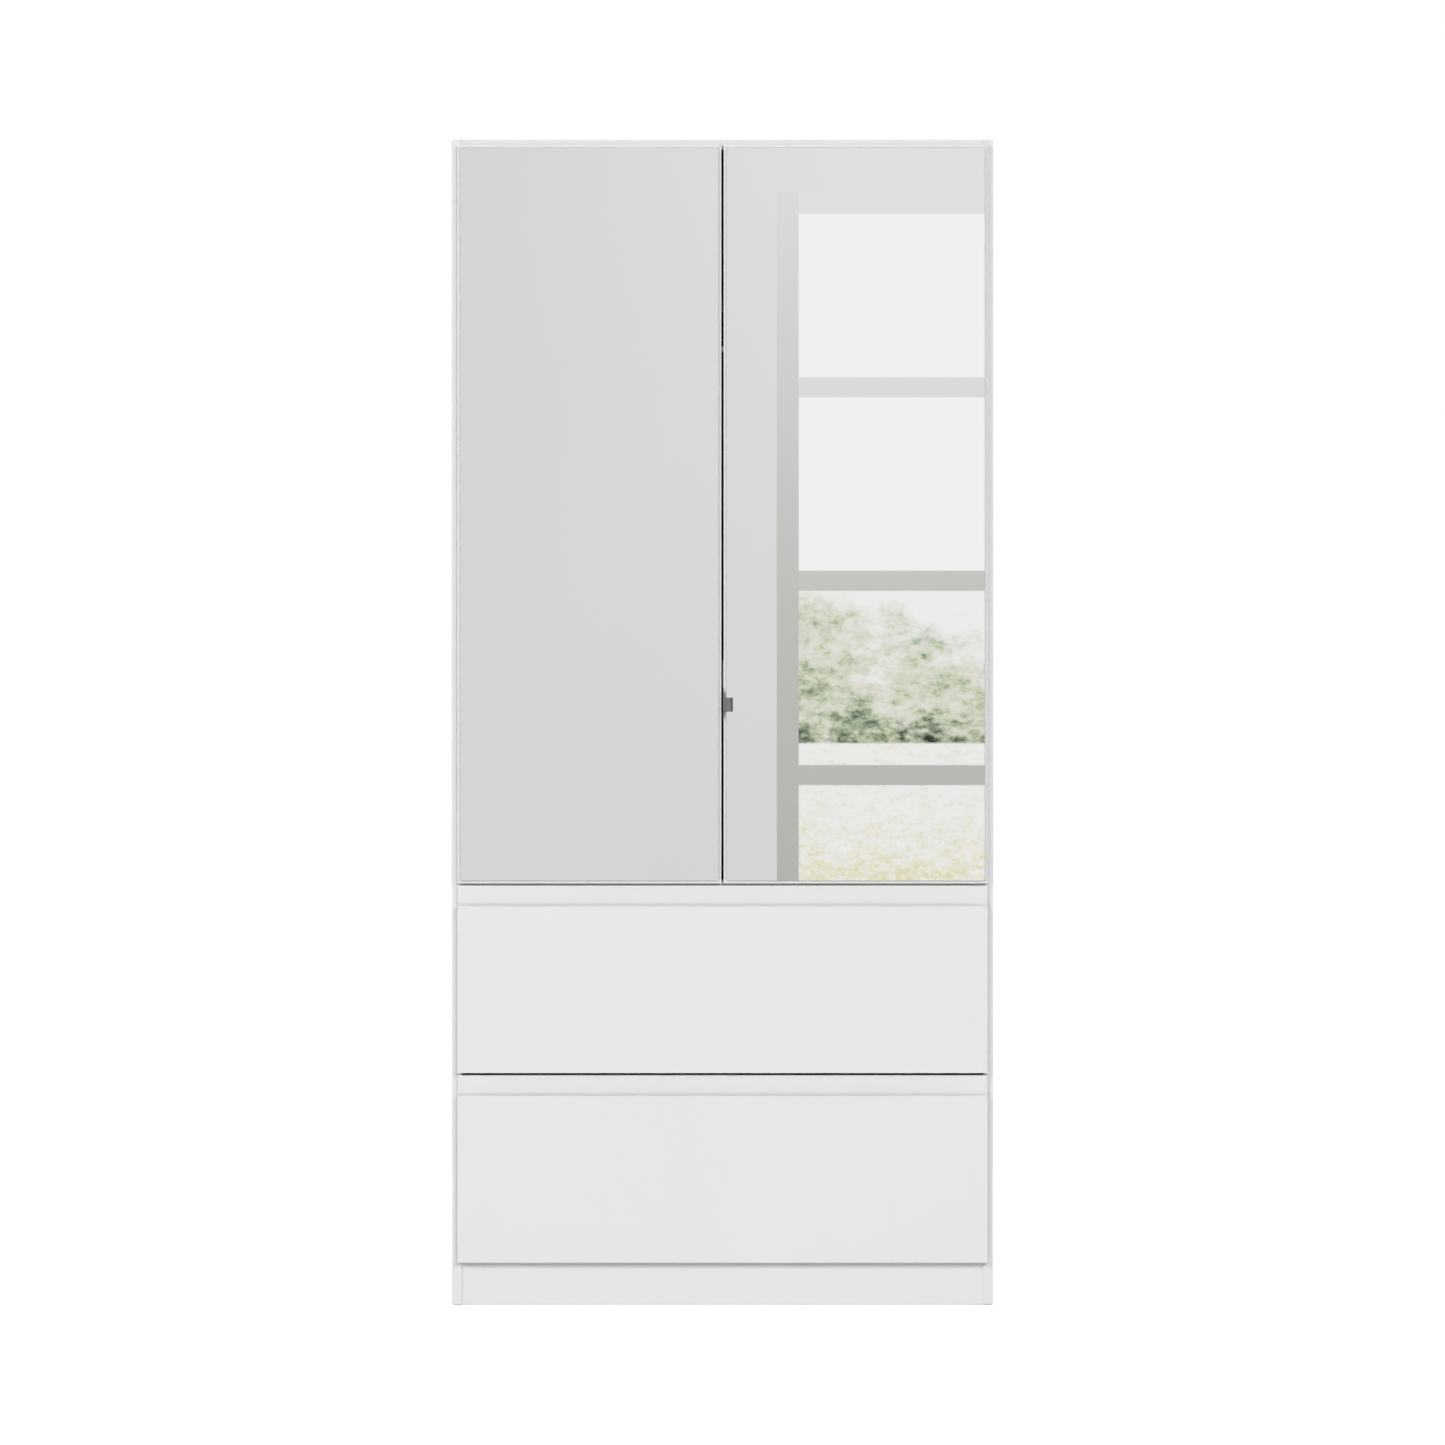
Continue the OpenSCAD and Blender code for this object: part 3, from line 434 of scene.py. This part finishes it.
def soften(piece, radius, segments=2, angle=38):
    """Rounds every sharp edge of a small part."""
    bevel = piece.modifiers.new("soften", "BEVEL")
    bevel.width = radius
    bevel.segments = segments
    bevel.limit_method = "ANGLE"
    bevel.angle_limit = math.radians(angle)
    bevel.use_clamp_overlap = True
    bake(piece)


def smooth(piece, angle=35):
    """Smooth shading, except over sharp edges, that leaves the broad faces flat."""
    for face in piece.data.polygons:
        face.use_smooth = True
    piece.data.set_sharp_from_angle(angle=math.radians(angle))
    normals = piece.modifiers.new("normals", "WEIGHTED_NORMAL")
    normals.keep_sharp = True
    normals.weight = 100
    bake(piece)


def paint(piece, looks, choose):
    """Gives each face the look that choose(centre, normal) names."""
    for look in looks:
        piece.data.materials.append(LOOKS[look])
    for face in piece.data.polygons:
        face.material_index = looks.index(choose(face.center, face.normal))


def board(node, thin_axis, raw=(), radius=0.7 * MM, main="face"):
    """A coated board: broad faces, banded edges, and raw chipboard where no band is glued.

    raw lists (axis, side) of bare edges, side 0 for the low one; drilled walls are raw too."""
    piece = copied(node, node + "_board")
    low, high = round_box_edges(piece, radius)

    def choose(centre, normal):
        axis = max(range(3), key=lambda a: abs(normal[a]))
        side = HIGH if normal[axis] > 0 else LOW
        skin = (low, high)[side][axis]
        if abs(centre[axis] - skin) > radius:
            return "raw"
        if axis == thin_axis:
            return main
        return "raw" if (axis, side) in raw else "edge"

    paint(piece, [main, "edge", "raw"], choose)
    smooth(piece)
    return stand_for(piece, node)


board("left_side_panel", X, raw=[(Z, LOW), (Y, HIGH)])
board("right_side_panel", X, raw=[(Z, LOW), (Y, HIGH)])
for level in ("top_panel", "middle_panel", "bottom_panel"):
    board(level, Z, raw=[(Y, HIGH), (X, LOW), (X, HIGH)], radius=0.5 * MM)
for rail in ("kick_plate", "rear_plinth_rail"):
    board(rail, Y, raw=[(Z, HIGH)], radius=0.5 * MM)
board("shelf", Z)
for side in ("left", "right"):
    board(f"{side}_door_panel", Y)
for level in ("upper", "lower"):
    board(f"{level}_drawer_left_side", X, raw=[(Y, LOW), (Y, HIGH)], radius=0.5 * MM)
    board(f"{level}_drawer_right_side", X, raw=[(Y, LOW), (Y, HIGH)], radius=0.5 * MM)
    board(f"{level}_drawer_back", Y, raw=[(X, LOW), (X, HIGH)], radius=0.5 * MM)


def drawer_front(node):
    """A front whose upper edge is routed into a finger pull, foiled all over."""
    piece = copied(node, node + "_routed")
    soften(piece, 0.6 * MM, 3)
    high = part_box(node)[1]

    def choose(centre, normal):
        return "edge" if abs(normal.x) > 0.9 or (abs(normal.z) > 0.9 and centre.z > high.z - MM) else "face"

    paint(piece, ["face", "edge"], choose)
    smooth(piece)
    return stand_for(piece, node)


drawer_front("upper_drawer_front")
drawer_front("lower_drawer_front")


ARRIS = 0.7 * MM


def mirror(node):
    """A slab of mirror glass with a narrow polished arris, silvered behind."""
    piece = copied(node, node + "_glass")
    round_box_edges(piece, ARRIS, 1)

    def choose(centre, normal):
        if normal.y < -0.9:
            return "mirror"
        return "backing" if normal.y > 0.9 else "glass_edge"

    paint(piece, ["mirror", "backing", "glass_edge"], choose)
    return stand_for(piece, node)


mirror("left_door_mirror")
mirror("right_door_mirror")


def hardboard(node, inner):
    """A thin sheet with a white face and a raw brown one; inner is the white face's (axis, sign)."""
    piece = copied(node, node + "_sheet")
    axis, sign = inner
    paint(piece, ["hardboard", "hardboard_back"],
          lambda centre, normal: "hardboard" if normal[axis] * sign > 0.5 else "hardboard_back")
    smooth(piece)
    return stand_for(piece, node)


hardboard("upper_back_panel", (Y, -1))
hardboard("lower_back_panel", (Y, -1))
hardboard("upper_drawer_bottom", (Z, 1))
hardboard("lower_drawer_bottom", (Z, 1))


def fitting(node, radius, angle=38):
    """A small part of metal or plastic, with its edges broken."""
    piece = copied(node, node + "_finished")
    soften(piece, radius, 2, angle)
    piece.data.materials.clear()
    piece.data.materials.append(SLOT_LOOKS[SLOT_OF[node]])
    smooth(piece)
    return stand_for(piece, node)


for node, radius in {
    "door_handle": 0.35, "left_hinge_arms": 0.5, "right_hinge_arms": 0.5,
    "left_mounting_plates": 0.4, "right_mounting_plates": 0.4, "left_hinge_links": 0.35,
    "right_hinge_links": 0.35, "left_hinge_cups": 0.3, "right_hinge_cups": 0.3,
    "wall_brackets": 0.4, "rod_sockets": 0.8, "floor_glides": 0.3, "door_bumpers": 0.6,
    "edge_buffer": 0.3, "upper_cabinet_runners": 0.3, "lower_cabinet_runners": 0.3,
    "upper_middle_runners": 0.3, "lower_middle_runners": 0.3, "upper_drawer_runners": 0.3,
    "lower_drawer_runners": 0.3, "cabinet_screws": 0.25, "handle_screws": 0.2,
    "left_cup_screws": 0.15, "right_cup_screws": 0.15,
}.items():
    fitting(node, radius * MM)

for node, thing in frame["nodes"].items():
    if not thing.hide_render:
        thing.data.materials.clear()
        thing.data.materials.append(SLOT_LOOKS[SLOT_OF[node]])


# ---------- Stage: floor, camera, light, and what the mirrors see ----------

class Glow(Nodes):
    """A glowing material, for the cards that only the mirrors see."""

    def __init__(self, name, colour=(1, 1, 1), strength=1.0):
        super().__init__(name)
        self.tree.nodes.remove(self.shader)
        self.shader = self.add("ShaderNodeEmission")
        self.shader.inputs["Color"].default_value = (*colour, 1)
        self.shader.inputs["Strength"].default_value = strength
        out = next(n for n in self.tree.nodes if n.type == "OUTPUT_MATERIAL")
        self.link(self.shader.outputs[0], out.inputs["Surface"])
        split = self.add("ShaderNodeSeparateXYZ")
        self.link(self.place, split.inputs[0])
        self.x = split.outputs["X"]
        self.z = split.outputs["Z"]

    def colour(self, source):
        self.link(source, self.shader.inputs["Color"])

    def strength(self, source):
        self.link(source, self.shader.inputs["Strength"])

    def product(self, one, other):
        """One colour times another."""
        node = self.add("ShaderNodeVectorMath", operation="MULTIPLY")
        self.link(one, node.inputs[0])
        self.link(other, node.inputs[1])
        return node.outputs[0]

    def ramp(self, value, stops):
        """Colours along a value from 0 to 1: stops are (place, (r, g, b))."""
        node = self.add("ShaderNodeValToRGB")
        marks = node.color_ramp.elements
        for mark, (place, colour) in zip(marks, (stops[0], stops[-1])):
            mark.position = place
            mark.color = (*colour, 1)
        for place, colour in stops[1:-1]:
            marks.new(place).color = (*colour, 1)
        self.link(value, node.inputs["Fac"])
        return node.outputs["Color"]


WALL_RISE = (0.105, 0.0459)
WALL_FOOT = (-0.0713, 0.7142)
WALL_LEVELS = (0.7, 0.83)


def wall_glow():
    """A glowing card, a painted reflection of a pale studio wall, a little lighter towards its upper right.

    Its level rises with height from a foot level, and both change evenly from left to right."""
    n = Glow("stage_wall")
    level = n.add("ShaderNodeMath", operation="MULTIPLY_ADD")
    n.link(n.scaled(n.x, *WALL_RISE), level.inputs[0])
    n.link(n.z, level.inputs[1])
    n.link(n.scaled(n.x, *WALL_FOOT), level.inputs[2])
    n.strength(n.spread(level.outputs[0], *WALL_LEVELS, *WALL_LEVELS))
    return n.material


def bars_glow(name, tones):
    """A window bar, lighter and less yellow towards the top: tones are (height share, level)."""
    n = Glow(name)
    share = n.spread(n.z, 0, 1, BARS_FROM, WINDOW_TOP)
    n.colour(n.ramp(share, [
        (place, (level, level * 0.994, level * (0.94 + 0.06 * place))) for place, level in tones
    ]))
    return n.material


TREE_TOP = 1.09
TREE_FOOT = 0.879
TREE_FALL = 0.25
TRUNKS_H = 0.045
LAWN = (0.63, 0.8)
LAWN_EDGE = 0.002
OPEN_SKY = (TREE_TOP + 0.19, TREE_TOP + 0.25)


def trees(n):
    """Leafy crowns, lighter towards the top, over a darker foot with a few trunks."""
    crowns = n.noise(13, 3, 0.55, n.stretched((1, 1, 1.3)))
    leaves = n.noise(42, 6, 0.7, n.stretched((1, 1, 1.7)))
    clumps = n.scaled(crowns, 0.45, n.scaled(leaves, 0.55))
    lit = n.scaled(n.spread(n.z, 0, 1, TREE_FOOT, TREE_TOP), 0.10, clumps)
    foliage = n.ramp(lit, [
        (0.39, (0.12, 0.17, 0.14)), (0.45, (0.30, 0.37, 0.26)), (0.50, (0.52, 0.58, 0.41)),
        (0.55, (0.70, 0.73, 0.59)), (0.61, (0.80, 0.79, 0.71)), (0.70, (0.91, 0.91, 0.89)),
    ])
    shade = n.mean(n.noise(17, 3, 0.6), leaves)
    foot = n.ramp(shade, [
        (0.41, (0.03, 0.045, 0.035)), (0.46, (0.12, 0.17, 0.11)), (0.52, (0.36, 0.41, 0.25)),
        (0.60, (0.70, 0.71, 0.55)),
    ])
    trunks = n.ramp(n.noise(48, 2, 0.5, n.stretched((1, 1, 0.12))), [
        (0.30, (0.25, 0.24, 0.22)), (0.38, (1, 1, 1)),
    ])
    foot = n.product(foot, trunks)
    height = n.scaled(leaves, 0.1, n.z)
    above = n.spread(height, 0, 1, TREE_FOOT + TRUNKS_H, TREE_FOOT + 2 * TRUNKS_H)
    return n.mixed(above, foot, foliage)


def grass(n):
    """A pale lawn, yellower and drier towards its lower end."""
    tufts = n.scaled(n.noise(24, 3, 0.6, n.stretched((1, 1, 2.5))), 0.4)
    blades = n.scaled(n.noise(120, 3, 0.75, n.stretched((1, 1, 1.6))), 0.6, tufts)
    dry = n.scaled(n.spread(n.z, 1, 0, *LAWN), 0.14, blades)
    return n.ramp(dry, [
        (0.52, (0.925, 0.925, 0.905)), (0.58, (0.89, 0.885, 0.83)), (0.65, (0.87, 0.85, 0.70)),
        (0.71, (0.80, 0.76, 0.50)),
    ])


def garden_glow():
    """Pale sky, trees that get lower to the right, and a light lawn, as through a bright window."""
    n = Glow("stage_garden")
    outline = n.scaled(n.x, TREE_FALL, n.scaled(n.noise(9, 8, 0.75), 0.3, n.z))
    sky = n.spread(outline, 0, 1, *OPEN_SKY)
    far = n.mixed(sky, trees(n), (0.93, 0.94, 0.93))
    ground = n.spread(n.z, 1, 0, TREE_FOOT - LAWN_EDGE, TREE_FOOT + LAWN_EDGE)
    n.colour(n.mixed(ground, far, grass(n)))
    return n.material


def card(name, x0, x1, z0, z1, y, material):
    """An upright card facing the wardrobe, seen only in glossy reflections."""
    mesh = bpy.data.meshes.new(name)
    mesh.from_pydata([(x0, y, z0), (x0, y, z1), (x1, y, z1), (x1, y, z0)], [], [(0, 1, 2, 3)])
    mesh.materials.append(material)
    thing = bpy.data.objects.new(name, mesh)
    bpy.context.scene.collection.objects.link(thing)
    thing.visible_camera = False
    thing.visible_diffuse = False
    thing.visible_shadow = False
    thing.visible_transmission = False


CARD_Y = -3.2
WINDOW = (0.0955, 1.1)
WINDOW_TOP = 1.848
STILE = 0.0385
BARS_FROM = 0.65
RAIL_TONES = [(0.0, 0.51), (0.14, 0.54), (0.43, 0.62), (0.71, 0.79), (1.0, 0.835)]
STILE_TONES = [(0.0, 0.515), (0.3, 0.56), (0.55, 0.635), (0.8, 0.72), (1.0, 0.79)]
PANES = [(1.8096, 1.522), (1.487, 1.182), (1.1467, 0.8401), (0.8049, 0.5), (0.465, 0.16)]
SKY_PANES = 2
SKY_GLOW = 0.975
WALL = (-3, 3, -1.5, 4.5)


def reflections():
    """Glowing cards, a painted reflection of a wall with a tall window in it, in front of the doors and out
    of the camera's sight.
    """
    card("stage_wall", *WALL, CARD_Y, wall_glow())
    foot = PANES[-1][1] - STILE
    card("stage_window_rails", *WINDOW, foot, WINDOW_TOP, CARD_Y + 0.01,
         bars_glow("stage_window_rails", RAIL_TONES))
    card("stage_window_stile", WINDOW[0], WINDOW[0] + STILE, foot, WINDOW_TOP, CARD_Y + 0.015,
         bars_glow("stage_window_stile", STILE_TONES))
    sky = Glow("stage_sky", strength=SKY_GLOW).material
    garden = garden_glow()
    for row, (top, bottom) in enumerate(PANES):
        card(f"stage_pane_{row}", WINDOW[0] + STILE, WINDOW[1] - STILE, bottom, top,
             CARD_Y + 0.02, sky if row < SKY_PANES else garden)


FLOOR_HALF = 60
FLOOR_FADE = (0.5, 2.6)


def floor(name, near_glow, far_glow, colour):
    """A pale floor that glows more brightly away from the wardrobe, so that no horizon shows."""
    mesh = bpy.data.meshes.new(name)
    corners = [(-1, -1), (1, -1), (1, 1), (-1, 1)]
    mesh.from_pydata([(x * FLOOR_HALF, y * FLOOR_HALF, 0) for x, y in corners], [], [(0, 1, 2, 3)])
    n = Nodes(name)
    n.shader.inputs["Base Color"].default_value = (colour, colour, colour, 1)
    n.shader.inputs["Roughness"].default_value = 0.9
    n.shader.inputs["Specular IOR Level"].default_value = 0.0
    n.shader.inputs["Emission Color"].default_value = (1, 1, 1, 1)
    away = n.add("ShaderNodeVectorMath", operation="LENGTH")
    n.link(n.place, away.inputs[0])
    n.link(n.spread(away.outputs["Value"], near_glow, far_glow, *FLOOR_FADE),
           n.shader.inputs["Emission Strength"])
    mesh.materials.append(n.material)
    thing = bpy.data.objects.new(name, mesh)
    bpy.context.scene.collection.objects.link(thing)
    thing.visible_diffuse = False
    thing.visible_shadow = False
    return thing


def floors():
    """The floor that is seen, and a greyer one that only the mirrors see, so that they stand out."""
    seen = floor("stage_floor", near_glow=0.55, far_glow=1.0, colour=0.85)
    seen.visible_glossy = False
    reflected = floor("stage_mirrored_floor", near_glow=0.4, far_glow=0.62, colour=0.1)
    reflected.visible_camera = False


SKY_BASE = 0.26
SKY_SIDES = 0.54
WHITE_SKY = (1, 1, 1, 1)


def world():
    """Even studio light, stronger from both sides, on a white background."""
    made = bpy.data.worlds.new("studio")
    made.use_nodes = True
    bpy.context.scene.world = made
    tree = made.node_tree
    tree.nodes.clear()
    out = tree.nodes.new("ShaderNodeOutputWorld")
    direct = tree.nodes.new("ShaderNodeBackground")
    direct.inputs["Color"].default_value = WHITE_SKY
    seen = tree.nodes.new("ShaderNodeBackground")
    seen.inputs["Color"].default_value = WHITE_SKY
    mix = tree.nodes.new("ShaderNodeMixShader")
    path = tree.nodes.new("ShaderNodeLightPath")
    place = tree.nodes.new("ShaderNodeTexCoord")
    split = tree.nodes.new("ShaderNodeSeparateXYZ")
    square = tree.nodes.new("ShaderNodeMath")
    square.operation = "MULTIPLY"
    strength = tree.nodes.new("ShaderNodeMath")
    strength.operation = "MULTIPLY_ADD"
    strength.inputs[1].default_value = SKY_SIDES
    strength.inputs[2].default_value = SKY_BASE
    tree.links.new(place.outputs["Generated"], split.inputs[0])
    tree.links.new(split.outputs["X"], square.inputs[0])
    tree.links.new(split.outputs["X"], square.inputs[1])
    tree.links.new(square.outputs[0], strength.inputs[0])
    tree.links.new(strength.outputs[0], direct.inputs["Strength"])
    tree.links.new(path.outputs["Is Camera Ray"], mix.inputs["Fac"])
    tree.links.new(direct.outputs[0], mix.inputs[1])
    tree.links.new(seen.outputs[0], mix.inputs[2])
    tree.links.new(mix.outputs[0], out.inputs["Surface"])


def softbox(name, place, aim, size, share, lit=(0, -1, 0)):
    """A square soft light that gives the aimed-at face, whose normal is lit, its share of light."""
    away = Vector(aim) - Vector(place)
    facing = -away.dot(Vector(lit)) / away.length
    light = bpy.data.lights.new(name, "AREA")
    light.shape = "SQUARE"
    light.size = size
    light.energy = share * math.pi ** 2 * away.length ** 2 / facing
    thing = bpy.data.objects.new(name, light)
    bpy.context.scene.collection.objects.link(thing)
    thing.location = place
    thing.rotation_euler = away.to_track_quat("-Z", "Y").to_euler()
    thing.visible_glossy = False
    thing.visible_camera = False


FRONT = (0, -0.27, 0.95)
KICK = (0, -0.27, 0.2)


def front_lights():
    """Soft lights high enough to leave the gaps dark, and one from below, for the kick plate."""
    softbox("key", (-5.5, -8.0, 2.7), FRONT, 2.0, 0.19)
    softbox("right_fill", (3.4, -7.0, 2.3), FRONT, 1.6, 0.12)
    softbox("low_fill", (-1.2, -9.0, -2.4), KICK, 0.9, 0.13)
    softbox("front_fill", (1.3, -10.5, 2.9), FRONT, 0.9, 0.225)


def room_lights():
    """Soft lights behind the front's plane, for the other sides, and one on the ceiling."""
    low, high = CAD_BOUNDS
    middle = (low.z + high.z) / 2
    for name, side in (("left_wall_light", -1), ("right_wall_light", 1)):
        softbox(name, (side * 5.5, 2.0, 2.6), (side * high.x, 0, middle), 3.0, 0.24, (side, 0, 0))
    softbox("rear_light", (0, 6.5, 2.8), (0, high.y, middle), 3.5, 0.5, (0, 1, 0))
    softbox("ceiling_light", (0, 0.3, 5.2), (0, 0, high.z), 3.2, 0.42, (0, 0, 1))


SENSOR = 36
CAMERA_AWAY = 24.0
CAMERA_REACH = 200
PICTURE_PER_HEIGHT = 1.23986


def camera():
    """Straight on from far away, level with the wardrobe's middle."""
    low, high = CAD_BOUNDS
    data = bpy.data.cameras.new("camera")
    data.sensor_width = SENSOR
    data.lens = SENSOR * CAMERA_AWAY / ((high.z - low.z) * PICTURE_PER_HEIGHT)
    data.clip_end = CAMERA_REACH
    thing = bpy.data.objects.new("camera", data)
    bpy.context.scene.collection.objects.link(thing)
    edge_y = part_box("left_side_panel")[0].y
    thing.location = (0, edge_y - CAMERA_AWAY, (low.z + high.z) / 2)
    thing.rotation_euler = (math.radians(90), 0, 0)
    bpy.context.scene.camera = thing


reflections()
floors()
world()
front_lights()
room_lights()
camera()
bpy.context.scene.view_settings.view_transform = "Standard"
